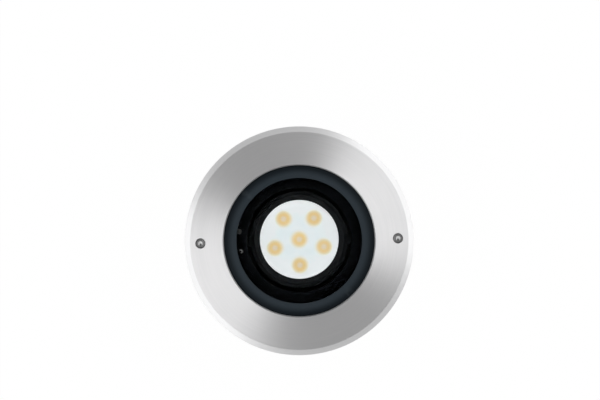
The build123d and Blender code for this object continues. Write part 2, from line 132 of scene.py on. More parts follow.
def makeTree(name, kind, inputs, outputs):
    # each socket is given with its default number, or with its kind
    tree = bpy.data.node_groups.new(name, kind)
    for inOut, sockets in (("INPUT", inputs), ("OUTPUT", outputs)):
        for label, value in sockets.items():
            socketKind = value if isinstance(value, str) else type(value).__name__.capitalize()
            made = tree.interface.new_socket(label, in_out=inOut, socket_type="NodeSocket" + socketKind)
            if value != socketKind:
                made.default_value = value
    return tree, named(add(tree, "NodeGroupInput").outputs), named(add(tree, "NodeGroupOutput").inputs)


# geometry node trees

def shapeTree(name, **inputs):
    inputs = {"Geometry": "Geometry", **inputs, "Material": "Material"}
    tree, given, made = makeTree(name, "GeometryNodeTree", inputs, {"Geometry": "Geometry"})
    tree.is_modifier = True
    return tree, given, made


def closeTree(tree, geometry, given, made, smooth=True):
    realize = add(tree, "GeometryNodeRealizeInstances", geometry)
    shade = add(tree, "GeometryNodeSetShadeSmooth", realize.outputs[0], Shade_Smooth=smooth)
    coat = add(tree, "GeometryNodeSetMaterial", shade.outputs[0], Material=given.Material)
    link(tree, coat.outputs[0], made.Geometry)
    return tree


def turnedTree():
    # the outline's points are radius (X) and height (Z); a grid is wrapped round the axis over them
    tree, given, made = shapeTree("turned on an axis", Segments=128)
    outline, segments = given.Geometry, given.Segments
    count = add(tree, "GeometryNodeAttributeDomainSize", outline).outputs["Point Count"]
    grid = add(tree, "GeometryNodeMeshGrid", Size_X=segments, Size_Y=count,
        Vertices_X=plus(tree, segments, 1), Vertices_Y=plus(tree, count, 1))
    position = add(tree, "GeometryNodeInputPosition").outputs[0]
    across, along, _ = splitVector(tree, position)
    index = calc(tree, "MODULO", calc(tree, "ROUND", plus(tree, along, times(tree, count, 0.5))), count)
    turn = times(tree, plus(tree, calc(tree, "DIVIDE", across, segments), 0.5), 2 * pi)
    sample = add(tree, "GeometryNodeSampleIndex", setup={"data_type": "FLOAT_VECTOR"}, Geometry=outline,
        Value=position, Index=index)
    radius, _, height = splitVector(tree, sample.outputs[0])
    x, y = (times(tree, radius, calc(tree, wave, turn)) for wave in ("COSINE", "SINE"))
    move = add(tree, "GeometryNodeSetPosition", grid.outputs["Mesh"], Position=joinVector(tree, x, y, height))
    merge = add(tree, "GeometryNodeMergeByDistance", move.outputs[0], Distance=1e-6)
    return closeTree(tree, merge.outputs[0], given, made)


def ringTree():
    # turns copies of a piece that is already in its place round the Z axis
    tree, given, made = shapeTree("ring of pieces", Piece="Object", Count=4, Start=0.0)
    source = add(tree, "GeometryNodeObjectInfo", Object=given.Piece)
    points = add(tree, "GeometryNodePoints", Count=given.Count)
    index = add(tree, "GeometryNodeInputIndex").outputs[0]
    step = calc(tree, "DIVIDE", 2 * pi, given.Count)
    turn = plus(tree, given.Start, times(tree, index, step))
    rotate = add(tree, "FunctionNodeEulerToRotation", joinVector(tree, 0, 0, turn))
    place = add(tree, "GeometryNodeInstanceOnPoints", points.outputs[0], Instance=source.outputs["Geometry"],
        Rotation=rotate.outputs[0])
    return closeTree(tree, place.outputs[0], given, made)


def finTree():
    # a row of plates along Y, each as long as the circle that they fill is wide there
    tree, given, made = shapeTree("fins in a circle", Count=9, Pitch=0.008, Circle=0.038, Thickness=0.0018,
        Top=0.1, Height=0.012)
    index = add(tree, "GeometryNodeInputIndex").outputs[0]
    middle = times(tree, minus(tree, given.Count, 1), 0.5)
    y = times(tree, minus(tree, index, middle), given.Pitch)
    z = minus(tree, given.Top, times(tree, given.Height, 0.5))
    points = add(tree, "GeometryNodePoints", Count=given.Count, Position=joinVector(tree, 0, y, z))
    position = add(tree, "GeometryNodeInputPosition").outputs[0]
    edge = plus(tree, calc(tree, "ABSOLUTE", splitVector(tree, position)[1]), times(tree, given.Thickness, 0.5))
    squares = (calc(tree, "POWER", side, 2) for side in (given.Circle, edge))
    length = times(tree, calc(tree, "SQRT", minus(tree, *squares)), 2)
    plate = add(tree, "GeometryNodeMeshCube")
    place = add(tree, "GeometryNodeInstanceOnPoints", points.outputs[0], Instance=plate.outputs["Mesh"],
        Scale=joinVector(tree, length, given.Thickness, given.Height))
    return closeTree(tree, place.outputs[0], given, made, smooth=False)


def threadTree():
    # a ridge that winds up a rod
    tree, given, made = shapeTree("screw thread", Radius=0.002, Turns=12.0, Length=0.01, Depth=0.0004)
    half = times(tree, given.Depth, 0.5)
    inner = minus(tree, given.Radius, half)
    spiral = add(tree, "GeometryNodeCurveSpiral", Resolution=28, Rotations=given.Turns, Start_Radius=inner,
        End_Radius=inner, Height=given.Length)
    section = add(tree, "GeometryNodeCurvePrimitiveCircle", Resolution=4, Radius=half)
    sweep = add(tree, "GeometryNodeCurveToMesh", spiral.outputs[0], Profile_Curve=section.outputs[0], Fill_Caps=True)
    return closeTree(tree, sweep.outputs[0], given, made)


turned, ringOfPieces, finsInCircle, screwThread = turnedTree(), ringTree(), finTree(), threadTree()
print("geometry trees built")


# helpers for meshes

def newObject(name, mesh):
    piece = bpy.data.objects.new(name, mesh)
    scene.collection.objects.link(piece)
    return piece


def drop(*pieces):
    for piece in pieces:
        bpy.data.objects.remove(piece)


def evaluated(piece):
    depsgraph = bpy.context.evaluated_depsgraph_get()
    mesh = bpy.data.meshes.new_from_object(piece.evaluated_get(depsgraph), depsgraph=depsgraph)
    piece.modifiers.clear()
    piece.data = mesh
    return piece


def grow(name, tree, mesh=None, **values):
    # sets the tree's inputs by their identifiers and turns the result into a plain mesh
    piece = newObject(name, mesh or bpy.data.meshes.new(name))
    modifier = piece.modifiers.new("shape", "NODES")
    modifier.node_group = tree
    for item in tree.interface.items_tree:
        if item.in_out == "INPUT" and item.name in values:
            modifier[item.identifier] = values[item.name]
    return evaluated(piece)


def softened(outline, steps=4):
    # rounds each corner of a closed outline by its third number
    corners = [(Vector(corner[:2]), corner[2] if len(corner) > 2 else 0) for corner in outline]
    points = []
    for index, (corner, rounding) in enumerate(corners):
        before, after = corners[index - 1][0] - corner, corners[(index + 1) % len(corners)][0] - corner
        opening = before.angle(after) / 2 if rounding else 0
        reach = min(rounding / tan(opening), 0.46 * before.length, 0.46 * after.length) if rounding else 0
        if reach < 1e-4:
            points.append(corner)
            continue
        start, end = corner + before.normalized() * reach, corner + after.normalized() * reach
        radius = reach * tan(opening)
        inwards = (before.normalized() + after.normalized()).normalized()
        centre = corner + inwards * (radius / sin(opening))
        for step in range(steps + 1):
            spoke = (start - centre).lerp(end - centre, step / steps).normalized() * radius
            points.append(centre + spoke)
    return points


def turn(name, outline, material, segments=128, steps=4, at=0):
    # outline: (radius, depth below the trim's top, rounding) in mm
    profile = bpy.data.meshes.new(name)
    profile.from_pydata([(r * mm, 0, heightAt(d)) for r, d in softened(outline, steps)], [], [])
    piece = grow(name, turned, profile, Segments=segments, Material=material)
    piece.data.transform(outBy(at))
    return tidied(piece)


def straight(radius, top, bottom, topRound=0, bottomRound=0):
    # the outline of a solid round bar
    return [(0, top), (radius, top, topRound), (radius, bottom, bottomRound), (0, bottom)]


def turnAlong(name, outline, material, axis, height, segments=64):
    # like turn, but round a level axis: outline in radius and distance from the Z axis, its middle at a height
    upright = [(corner[0], topFace / mm - corner[1], *corner[2:]) for corner in outline]
    lie = turnBy(90, "Y") if axis == "X" else turnBy(-90, "X")
    piece = turn(name, upright, material, segments)
    piece.data.transform(Matrix.Translation((0, 0, height * mm)) @ lie)
    return piece


def tidied(piece):
    # welds it, drops bare edges, turns its faces outwards and leaves it one material
    work = bmesh.new()
    work.from_mesh(piece.data)
    bmesh.ops.remove_doubles(work, verts=work.verts, dist=1e-6)
    bmesh.ops.dissolve_degenerate(work, edges=work.edges, dist=1e-7)
    bmesh.ops.delete(work, geom=[edge for edge in work.edges if not edge.link_faces], context="EDGES")
    for face in work.faces:
        face.material_index = 0
    bmesh.ops.recalc_face_normals(work, faces=work.faces)
    work.to_mesh(piece.data)
    work.free()
    used = [material for material in piece.data.materials if material]
    piece.data.materials.clear()
    for material in used[:1]:
        piece.data.materials.append(material)
    return piece


def joined(name, *pieces):
    # one mesh of several, whatever they touch; the pieces share one material
    work = bmesh.new()
    for piece in pieces:
        work.from_mesh(piece.data)
    mesh = bpy.data.meshes.new(name)
    work.to_mesh(mesh)
    work.free()
    mesh.materials.append(pieces[0].data.materials[0])
    drop(*pieces)
    return newObject(name, mesh)


def carved(piece, *tools):
    # cuts the tools out of the piece
    for tool in tools:
        cut = piece.modifiers.new("cut", "BOOLEAN")
        cut.operation, cut.solver, cut.object = "DIFFERENCE", "EXACT", tool
    evaluated(piece)
    drop(*tools)
    return tidied(piece)


def bridged(name, verts, material):
    # closes two equal outlines, one after the other in the list, into a solid
    count = len(verts) // 2
    faces = [tuple(range(count))[::-1], tuple(range(count, 2 * count))]
    faces += [(i, (i + 1) % count, count + (i + 1) % count, count + i) for i in range(count)]
    mesh = bpy.data.meshes.new(name)
    mesh.from_pydata(verts, [], faces)
    if material:
        mesh.materials.append(material)
    return tidied(newObject(name, mesh))


def extruded(name, ring, top, bottom, material=None):
    # a flat outline in X and Y drawn out between two depths
    return bridged(name, [(x * mm, y * mm, heightAt(d)) for d in (bottom, top) for x, y in ring], material)


def slab(name, outline, thickness, material):
    # an upright plate over the X axis: its outline in radius and depth, half its thickness each side
    half = thickness / 2
    return bridged(name, [(r * mm, y * mm, heightAt(d)) for y in (-half, half) for r, d in outline], material)


def prism(name, sides, width, top, bottom, material=None, start=0):
    # a bar of that many sides, its width measured across flats
    radius = width / 2 / cos(pi / sides)
    angles = [start + 2 * pi * i / sides for i in range(sides)]
    return extruded(name, [(radius * cos(a), radius * sin(a)) for a in angles], top, bottom, material)


def oblong(start, end, half):
    # a rectangle over the X axis
    return [(start, -half), (end, -half), (end, half), (start, half)]


def edged(piece, width):
    # rounds the piece's sharp edges
    bevel = piece.modifiers.new("edges", "BEVEL")
    bevel.width, bevel.segments, bevel.limit_method = width * mm, 2, "ANGLE"
    bevel.angle_limit, bevel.use_clamp_overlap = radians(30), True
    return evaluated(piece)


def ringOf(name, source, count, start=0):
    piece = grow(name, ringOfPieces, Piece=source, Count=count, Start=radians(start),
        Material=source.data.materials[0])
    drop(source)
    return tidied(piece)


def settle(piece, body, node):
    # flats stay flat and rounded edges stay round, whatever was cut into them
    piece.data.shade_smooth()
    piece.data.set_sharp_from_angle(angle=radians(34))
    weigh = piece.modifiers.new("flats", "WEIGHTED_NORMAL")
    weigh.keep_sharp, weigh.weight = True, 80
    evaluated(piece)
    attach(piece, body)
    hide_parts(node)


def fromNode(node, name, material, edge):
    # a copy of a CAD node's mesh, welded, its flats made whole and its edges rounded
    piece = newObject(name, nodes[node].data.copy())
    work = bmesh.new()
    work.from_mesh(piece.data)
    bmesh.ops.remove_doubles(work, verts=work.verts, dist=1e-6)
    bmesh.ops.dissolve_limit(work, angle_limit=radians(1), verts=work.verts, edges=work.edges)
    work.to_mesh(piece.data)
    work.free()
    piece.data.materials.clear()
    piece.data.materials.append(material)
    return edged(piece, edge)


# shared shader groups

def noise(tree, vector, scale, detail=2, roughness=0.5):
    node = add(tree, "ShaderNodeTexNoise", Vector=vector, Scale=scale, Detail=detail, Roughness=roughness)
    return node.outputs["Fac"]


def ramp(tree, value, low, high, fromValue=0, toValue=1):
    node = add(tree, "ShaderNodeMapRange", setup={"interpolation_type": "SMOOTHSTEP"}, Value=value, From_Min=low,
        From_Max=high, To_Min=fromValue, To_Max=toValue)
    return node.outputs["Result"]


def mixed(tree, first, share, second):
    return plus(tree, times(tree, first, share), times(tree, second, 1 - share))


def effect(name, outputs, **inputs):
    return makeTree(name, "ShaderNodeTree", {"Vector": "Vector", **inputs}, dict.fromkeys(outputs, "Float"))


def brushingGroup():
    # fine lines round the Z axis; the drift is how often a line changes on its way round
    tree, given, made = effect("concentric brushing", ("Streak", "Height"), Lines=2400.0, Drift=1.5)
    x, y, _ = splitVector(tree, given.Vector)
    flat = joinVector(tree, x, y, 0)
    around = splitVector(tree, vectorCalc(tree, "NORMALIZE", flat))
    radius = vectorCalc(tree, "LENGTH", flat)
    noises = []
    for width, detail, roughness in ((1, 3, 0.65), (0.18, 2, 0.5)):
        lines = times(tree, radius, times(tree, given.Lines, width))
        place = joinVector(tree, *(times(tree, part, given.Drift) for part in around[:2]), lines)
        noises.append(noise(tree, place, 1, detail, roughness))
    link(tree, mixed(tree, noises[0], 0.6, noises[1]), made.Streak)
    link(tree, noises[0], made.Height)
    return tree


def grainGroup():
    # the fine texture of a powder coat, a casting or a moulded surface
    tree, given, made = effect("surface grain", ("Tone", "Height"), Size=900.0, Cloud=22.0)
    place, size = given.Vector, given.Size
    fine = noise(tree, place, size, 3, 0.6)
    cells = add(tree, "ShaderNodeTexVoronoi", Vector=place, Scale=times(tree, size, 0.8))
    link(tree, plus(tree, fine, times(tree, cells.outputs["Distance"], 0.5)), made.Height)
    link(tree, mixed(tree, noise(tree, place, given.Cloud, 4, 0.55), 0.7, fine), made.Tone)
    return tree


def maskGroup(name, source, low, high, detail, roughness, patchLow, patchHigh):
    # a mask from the surface's shape, broken up into patches
    tree, given, made = effect(name, ("Mask",), Amount=0.5, Patches=100.0)
    value = add(tree, "ShaderNodeNewGeometry").outputs[source]
    if source == "Normal":
        value = splitVector(tree, value)[2]
    patch = ramp(tree, noise(tree, given.Vector, given.Patches, detail, roughness), patchLow, patchHigh)
    link(tree, times(tree, times(tree, ramp(tree, value, low, high), patch), given.Amount), made.Mask)
    return tree


def spotGroup():
    # a soft round patch with a yellow halo and a paler core, seen through the frosted disc
    tree, given, made = effect("emitter behind the frost", ("Halo", "Patch", "Core"), Centre="Vector", Radius=0.007,
        Softness=0.003, Core=0.0018)
    away = awayFrom(tree, given.Vector, given.Centre)
    spots = ("Halo", "Radius", "Softness", 1, -1), ("Patch", "Radius", "Softness", 0.2, -1.3), (
        "Core", "Core", "Core", 0.5, -0.5)
    for label, size, soft, outwards, inwards in spots:
        ends = (plus(tree, given[size], times(tree, given[soft], part)) for part in (outwards, inwards))
        link(tree, ramp(tree, away, *ends), made[label])
    return tree


brushing, surfaceGrain, emitterSpot = brushingGroup(), grainGroup(), spotGroup()
# where handling has rubbed an edge, and a thin film on what faces up
edgeWear = maskGroup("edge wear", "Pointiness", 0.515, 0.58, 4, 0.6, 0.4, 0.62)
settledDust = maskGroup("settled dust", "Normal", 0.4, 1, 5, 0.65, 0.35, 0.75)


# materials

class Finish:
    # one material: its shader, and the piece's own coordinates
    def __init__(self, name, **sockets):
        self.material = bpy.data.materials.new(name)
        self.material.use_nodes = True
        self.tree = self.material.node_tree
        self.shader = self.tree.nodes["Principled BSDF"]
        self.vector = add(self.tree, "ShaderNodeTexCoord").outputs["Object"]
        self.set(**sockets)

    def set(self, **sockets):
        for label, value in sockets.items():
            link(self.tree, value, self.shader.inputs[label.replace("_", " ")])

    def group(self, group, **values):
        node = add(self.tree, "ShaderNodeGroup", setup={"node_tree": group}, Vector=self.vector, **values)
        return named(node.outputs)

    def blend(self, share, first, second):
        node = add(self.tree, "ShaderNodeMix", setup={"data_type": "RGBA"})
        for index, value in ((0, share), (6, first), (7, second)):
            link(self.tree, (*value, 1) if isinstance(value, tuple) else value, node.inputs[index])
        return node.outputs[2]

    def bump(self, height, strength, distance):
        node = add(self.tree, "ShaderNodeBump", Strength=strength, Distance=distance * mm, Height=height)
        self.set(Normal=node.outputs[0])
        return self.material


def brushedTrim(name, m):
    # brushed round the Z axis; the outer bevel carries a painted highlight, paler, and the cut edge of the opening a
    # painted shade, darker
    finish = Finish(name, Metallic=1, Anisotropic=m.anisotropic, Anisotropic_Rotation=0.25)
    tree = finish.tree
    tangent = add(tree, "ShaderNodeTangent", setup={"direction_type": "RADIAL", "axis": "Z"}).outputs[0]
    streaks = finish.group(brushing, Lines=m.lines, Drift=m.drift)
    tone = mixed(tree, streaks.Streak, 0.65, noise(tree, finish.vector, 18, 3, 0.55))
    away = awayFrom(tree, finish.vector)
    # painted shade on the cut edge of the opening, and a painted highlight on the outer bevel
    cut = ramp(tree, away, (m.cutEdge + 0.1) * mm, (m.cutEdge - 0.15) * mm)
    bevel = ramp(tree, away, (m.bevelFrom - 0.3) * mm, (m.bevelFrom + 0.3) * mm)
    base = finish.blend(ramp(tree, tone, 0.35, 0.65), m.dark, m.steel)
    base = finish.blend(cut, finish.blend(bevel, base, m.bevel), m.cut)
    rough = ramp(tree, streaks.Streak, 0.3, 0.7, m.roughness + m.spread, m.roughness - m.spread)
    finish.set(Tangent=tangent, Base_Color=base, Roughness=ramp(tree, cut, 0, 1, rough, m.cutRoughness))
    return finish.bump(streaks.Height, m.bump, 0.02)


def socketMarks(finish, base, k):
    # a painted highlight fills each socket, with a painted shadow as a dark patch at its foot
    tree = finish.tree
    x, y, _ = splitVector(tree, finish.vector)
    off = joinVector(tree, minus(tree, calc(tree, "ABSOLUTE", x), k.circle * mm), y, 0)
    bright = ramp(tree, awayFrom(tree, off), (k.socket + 0.2) * mm, (k.socket - 0.2) * mm)
    below = awayFrom(tree, off, (0, -k.shadowDrop * mm, 0))
    shadow = ramp(tree, below, (k.shadow + 0.25) * mm, (k.shadow - 0.25) * mm)
    return finish.blend(shadow, finish.blend(bright, base, k.bright), k.first)


def mouthMarks(finish, base, k):
    # a painted glint on one side of the socket's mouth
    tree, angle = finish.tree, radians(k.turn)
    centre = (k.reach * mm * cos(angle), k.reach * mm * sin(angle), 0)
    near = vectorCalc(tree, "SUBTRACT", finish.vector, centre)
    x, y, _ = splitVector(tree, near)
    away = awayFrom(tree, near)
    inner, outer = (ramp(tree, away, none * mm, full * mm) for none, full in (k.inner, k.outer))
    side = ramp(tree, plus(tree, x, times(tree, y, 0.5)), -0.9 * mm, 0.6 * mm)
    return finish.blend(times(tree, times(tree, inner, outer), side), base, k.bright)


def grooveMarks(finish, base, k):
    # painted shade: darker outwards, where the part beyond it casts shade
    away = awayFrom(finish.tree, finish.vector)
    return finish.blend(ramp(finish.tree, away, k.paleTo * mm, k.darkFrom * mm), base, k.groove)


# what the kinds of surface share: "rougher" is added to the roughness at the dark and the pale tone, "film" and
# "patches" size the dust and the wear, and "gain" and "lift" turn the pale tone into a rubbed one
anyKind = Sizes(metallic=0, specular=0.5, coat=0, coatRough=0.03, cloud=30, tones=(0.3, 0.7), roughTones=(0.3, 0.7),
    marks=None, dust=0, dulled=0, wear=0, rubbed=None)
kinds = Sizes(
    metal=dict(metallic=1, grain=700, cloud=40, tones=None, wear=0.4, patches=200, gain=1.25, lift=0,
        rougher=(0.06, -0.06), bump=0.1, depth=0.03),
    screw=dict(metallic=1, grain=900, cloud=300, rougher=(0.04, -0.04), bump=0.08, depth=0.02),
    powder=dict(grain=1500, wear=0.25, patches=160, gain=2.2, lift=0.02, dust=0.1, film=90,
        dustColour=(0.32, 0.31, 0.29), dulled=0.3, rougher=(-0.05, 0.05), bump=0.25, depth=0.04),
    # the matt kind darkens outwards as painted shade
    matt=dict(grain=1500, cloud=14, tones=(0.35, 0.65), patches=160, rougher=(-0.05, 0.05), bump=0.2,
        depth=0.03, marks=grooveMarks),
    moulded=dict(grain=1100, cloud=16, tones=(0.25, 0.75), roughTones=(0.25, 0.75), wear=0.2, patches=90,
        gain=1.6, lift=0.03, dust=0.12, film=50, dustColour=(0.3, 0.28, 0.25), rougher=(-0.07, 0.07),
        bump=0.2, depth=0.06),
    rubber=dict(specular=0.35, grain=600, cloud=35, dust=0.15, film=140, dustColour=(0.25, 0.24, 0.22),
        rougher=(-0.06, 0.08), bump=0.15, depth=0.05),
    tinted=dict(coatRough=0.08, grain=500, cloud=60, rougher=(-0.04, 0.04), bump=0.06, depth=0.02))


def coated(name, kind, first, second, roughness, **changes):
    # two tones in fine grain, then the marks, dust and rubbed edges that the kind or the piece has
    k = Sizes({**anyKind, **kinds[kind], **changes, "first": first})
    finish = Finish(name, Metallic=k.metallic, Specular_IOR_Level=k.specular, Coat_Weight=k.coat,
        Coat_Roughness=k.coatRough)
    tree = finish.tree
    grains = finish.group(surfaceGrain, Size=k.grain, Cloud=k.cloud)
    tone = grains.Tone
    base = finish.blend(ramp(tree, tone, *k.tones) if k.tones else tone, first, second)
    rough = ramp(tree, tone, *k.roughTones, *(roughness + more for more in k.rougher))
    if k.marks:
        base = k.marks(finish, base, k)
    if k.dust:
        film = finish.group(settledDust, Amount=k.dust, Patches=k.film).Mask
        base = finish.blend(film, base, k.dustColour)
        rough = plus(tree, rough, times(tree, film, k.dulled)) if k.dulled else rough
    if k.wear:
        worn = finish.group(edgeWear, Amount=k.wear, Patches=k.patches).Mask
        base = finish.blend(worn, base, k.rubbed or tuple(min(1, k.gain * part + k.lift) for part in second))
    finish.set(Base_Color=base, Roughness=rough)
    return finish.bump(grains.Height, k.bump, k.depth)


def clearGlass(name):
    # faintly tinted and coated against reflections, with a hint of uneven polish
    finish = Finish(name, Metallic=0, IOR=1.2, Transmission_Weight=1, Specular_Tint=(0.08, 0.085, 0.1, 1))
    cloud = noise(finish.tree, finish.vector, 30)
    finish.set(Base_Color=finish.blend(cloud, (0.985, 0.995, 0.99), (0.97, 0.99, 0.985)),
        Roughness=ramp(finish.tree, cloud, 0.3, 0.7, 0, 0.015))
    return finish.material


# the disc's colours: the glow strength is a painted glow, the paler edge colour is painted light, and the rim colour
# is a painted highlight
discColoursAndGlow = Sizes(ring=23.3, count=5, start=-90, radius=7.5, softness=2.5, core=2.2, halo=(0.82, 0.73, 0.52),
    amber=(0.8, 0.575, 0.245), pale=(0.76, 0.63, 0.53), white=(0.815, 0.85, 0.875), cool=(0.76, 0.82, 0.84),
    paleFrom=14, edge=(0.92, 0.945, 0.965), rimRadius=34.3, rim=(0.98, 0.99, 1), milk=0.18)


def frostedDisc(name, g):
    # milky satin plastic with a painted glow, giving off a little light though it is no lamp; the six amber emitters
    # show through it as soft patches
    finish = Finish(name, Metallic=0)
    tree = finish.tree
    angles = [radians(g.start + 360 / g.count * index) for index in range(g.count)]
    masks = {}
    for x, y in [(0, 0)] + [(g.ring * cos(a), g.ring * sin(a)) for a in angles]:
        spot = finish.group(emitterSpot, Centre=(x * mm, y * mm, 0), Radius=g.radius * mm,
            Softness=g.softness * mm, Core=g.core * mm)
        for part in ("Halo", "Patch", "Core"):
            masks[part] = calc(tree, "MAXIMUM", masks[part], spot[part]) if part in masks else spot[part]
    cloud = noise(tree, finish.vector, 70, 3, 0.55)
    frost = noise(tree, finish.vector, 1800)
    away = awayFrom(tree, finish.vector)
    base = finish.blend(ramp(tree, cloud, 0.35, 0.65), g.cool, g.white)
    # painted light: paler from the middle out towards the rim, against the shade of the recess
    base = finish.blend(ramp(tree, away, g.paleFrom * mm, g.rimRadius * mm), base, g.edge)
    base = finish.blend(times(tree, masks["Halo"], 0.8), base, g.halo)
    mottled = times(tree, masks["Patch"], ramp(tree, cloud, 0.3, 0.7, 0.85, 0.98))
    base = finish.blend(mottled, base, finish.blend(times(tree, masks["Core"], 0.8), g.amber, g.pale))
    # painted highlight: a near-white band on the rim
    base = finish.blend(ramp(tree, away, (g.rimRadius - 0.5) * mm, (g.rimRadius + 0.3) * mm), base, g.rim)
    # painted glow: the disc gives off light of its own colour
    finish.set(Base_Color=base, Emission_Color=base, Emission_Strength=g.milk,
        Roughness=ramp(tree, frost, 0.3, 0.7, 0.38, 0.5))
    return finish.bump(frost, 0.12, 0.02)


# the bevel colour is a painted highlight on the outer bevel, and the cut colour a painted shade on the opening's edge
brushedSteel = Sizes(steel=(0.635, 0.63, 0.635), dark=(0.595, 0.595, 0.6), bevel=(0.735, 0.735, 0.74), bevelFrom=95.2,
    cut=(0.3, 0.305, 0.31), cutEdge=66.8, cutRoughness=0.5, roughness=0.4, spread=0.03, anisotropic=0.95, lines=4200,
    drift=1.5, bump=0.1)
# painted highlight in the trim screws' sockets, with a painted shadow at their foot
trimSocket = Sizes(marks=socketMarks, bright=(0.9, 0.9, 0.9), circle=86.1, socket=2, shadow=1, shadowDrop=1.2)
# a painted glint on one side of the lock screw's socket
lockSocket = Sizes(marks=mouthMarks, bright=(0.34, 0.35, 0.36), reach=53.1, turn=189.5, inner=(0.8, 1.1),
    outer=(2, 1.5), grain=800, cloud=200, tones=None, rougher=(0.05, -0.05))
# the bezel darkens outwards as painted shade beside the trim's wall, and has edge wear
bezelShadeAndWear = Sizes(groove=(0.0004, 0.0028, 0.0048), paleTo=57.5, darkFrom=64.3, rubbed=(0.05, 0.06, 0.065),
    specular=0.1, wear=0.15)
# the baffle darkens outwards as painted shade under the bezel's edge
baffleShade = Sizes(groove=(0.0004, 0.0008, 0.002), paleTo=47.5, darkFrom=52, specular=0.04)

paint = {
    "trim_steel": brushedTrim("circular brushed steel", brushedSteel),
    "trim_screw_steel": coated("trim screw steel", "screw", (0.15, 0.15, 0.15), (0.24, 0.24, 0.24), 0.3,
        **trimSocket),
    "screw_steel": coated("bright screw steel", "metal", (0.5, 0.5, 0.49), (0.62, 0.62, 0.6), 0.32),
    "spring_steel": coated("oiled spring steel", "metal", (0.14, 0.14, 0.16), (0.24, 0.24, 0.25), 0.38),
    "lock_screw_steel": coated("blackened lock screw", "screw", (0.008, 0.008, 0.009),
        (0.016, 0.016, 0.017), 0.37, **lockSocket),
    "pointer_metal": coated("dull pointer", "metal", (0.055, 0.056, 0.057), (0.075, 0.076, 0.077), 0.5),
    "brass": coated("turned brass", "metal", (0.5, 0.35, 0.13), (0.7, 0.51, 0.22), 0.3),
    "sink_metal": coated("extruded fins", "metal", (0.42, 0.43, 0.44), (0.56, 0.57, 0.58), 0.42),
    "bezel_metal": coated("charcoal bezel coat", "matt", (0.0175, 0.024, 0.03), (0.014, 0.0205, 0.026), 0.5,
        **bezelShadeAndWear),
    "baffle_metal": coated("matt black baffle", "matt", (0.0036, 0.0044, 0.0062), (0.0028, 0.0036, 0.0052), 0.75,
        **baffleShade),
    "head_metal": coated("matt black head", "powder", (0.0018, 0.0028, 0.004), (0.0028, 0.004, 0.0052), 0.6,
        wear=0.05, dust=0, specular=0.1),
    "pan_metal": coated("black turntable", "powder", (0.002, 0.0021, 0.0024), (0.004, 0.0042, 0.0046), 0.65,
        wear=0.05, dust=0, specular=0.1),
    "housing_metal": coated("black die casting", "powder", (0.006, 0.0063, 0.007), (0.012, 0.0125, 0.0135), 0.55,
        grain=700, bump=0.45, specular=0.3),
    "tray_steel": coated("black painted tray", "powder", (0.003, 0.003, 0.0034), (0.006, 0.006, 0.0066), 0.6,
        wear=0.1, dust=0, specular=0.15),
    "pot_plastic": coated("black pot plastic", "moulded", (0.012, 0.012, 0.013), (0.022, 0.022, 0.023), 0.5),
    "socket_plastic": coated("grey socket plastic", "moulded", (0.055, 0.056, 0.06), (0.085, 0.086, 0.09), 0.45),
    "gland_plastic": coated("black nylon", "moulded", (0.012, 0.012, 0.012), (0.024, 0.024, 0.024), 0.36,
        grain=1600),
    "driver_plastic": coated("driver case", "moulded", (0.62, 0.62, 0.6), (0.72, 0.72, 0.7), 0.42),
    "terminal_plastic": coated("terminal block", "moulded", (0.66, 0.66, 0.62), (0.78, 0.78, 0.74), 0.35),
    "gasket_rubber": coated("silicone gasket", "rubber", (0.02, 0.02, 0.02), (0.035, 0.035, 0.036), 0.62),
    "seal_rubber": coated("gland seal", "rubber", (0.03, 0.03, 0.03), (0.05, 0.05, 0.05), 0.62),
    "trim_gasket_rubber": coated("trim gasket", "rubber", (0.018, 0.018, 0.019), (0.03, 0.03, 0.03), 0.62),
    "clear_glass": clearGlass("toughened glass"),
    "diffuser_plastic": frostedDisc("frosted disc", discColoursAndGlow),
    "lens_plastic": coated("clear moulded lenses", "tinted", (0.78, 0.8, 0.8), (0.88, 0.9, 0.9), 0.12, coat=0.4),
    "led_amber": coated("amber emitters", "tinted", (0.78, 0.5, 0.12), (0.9, 0.66, 0.24), 0.22, coat=0.5),
    "board_white": coated("white board", "tinted", (0.72, 0.74, 0.74), (0.82, 0.84, 0.83), 0.32, coat=0.2),
}
pivotBlack = coated("black pivot screws", "metal", (0.002, 0.002, 0.002), (0.004, 0.004, 0.004), 0.5, wear=0.1)
print("materials built,", len(paint))


# trim ring and its screws

trim = Sizes(outer=99.97, opening=66, thick=6, bevelWidth=5.2, bevelDrop=2.4, openingBevel=0.9, screwCircle=86.1,
    counterbore=4.35, seat=3.7, screwHole=2.8)


def makeTrim(t):
    steel = paint["trim_steel"]
    ring = turn("trim", [
        (t.opening, t.thick, 0.2), (t.opening, t.openingBevel, 0.15), (t.opening + t.openingBevel, 0, 0.25),
        (t.outer - t.bevelWidth, 0, 1), (t.outer, t.bevelDrop, 0.5), (t.outer, t.thick, 0.4)], steel, 256)
    well = turn("well", [
        (0, -1), (t.counterbore + 1.25, -1), (t.counterbore, 0.25, 0.1), (t.counterbore, t.seat),
        (t.screwHole, t.seat), (t.screwHole, t.thick + 1), (0, t.thick + 1)], steel, 48, at=t.screwCircle)
    settle(carved(ring, ringOf("wells", well, 2)), "trim", "trim_ring")


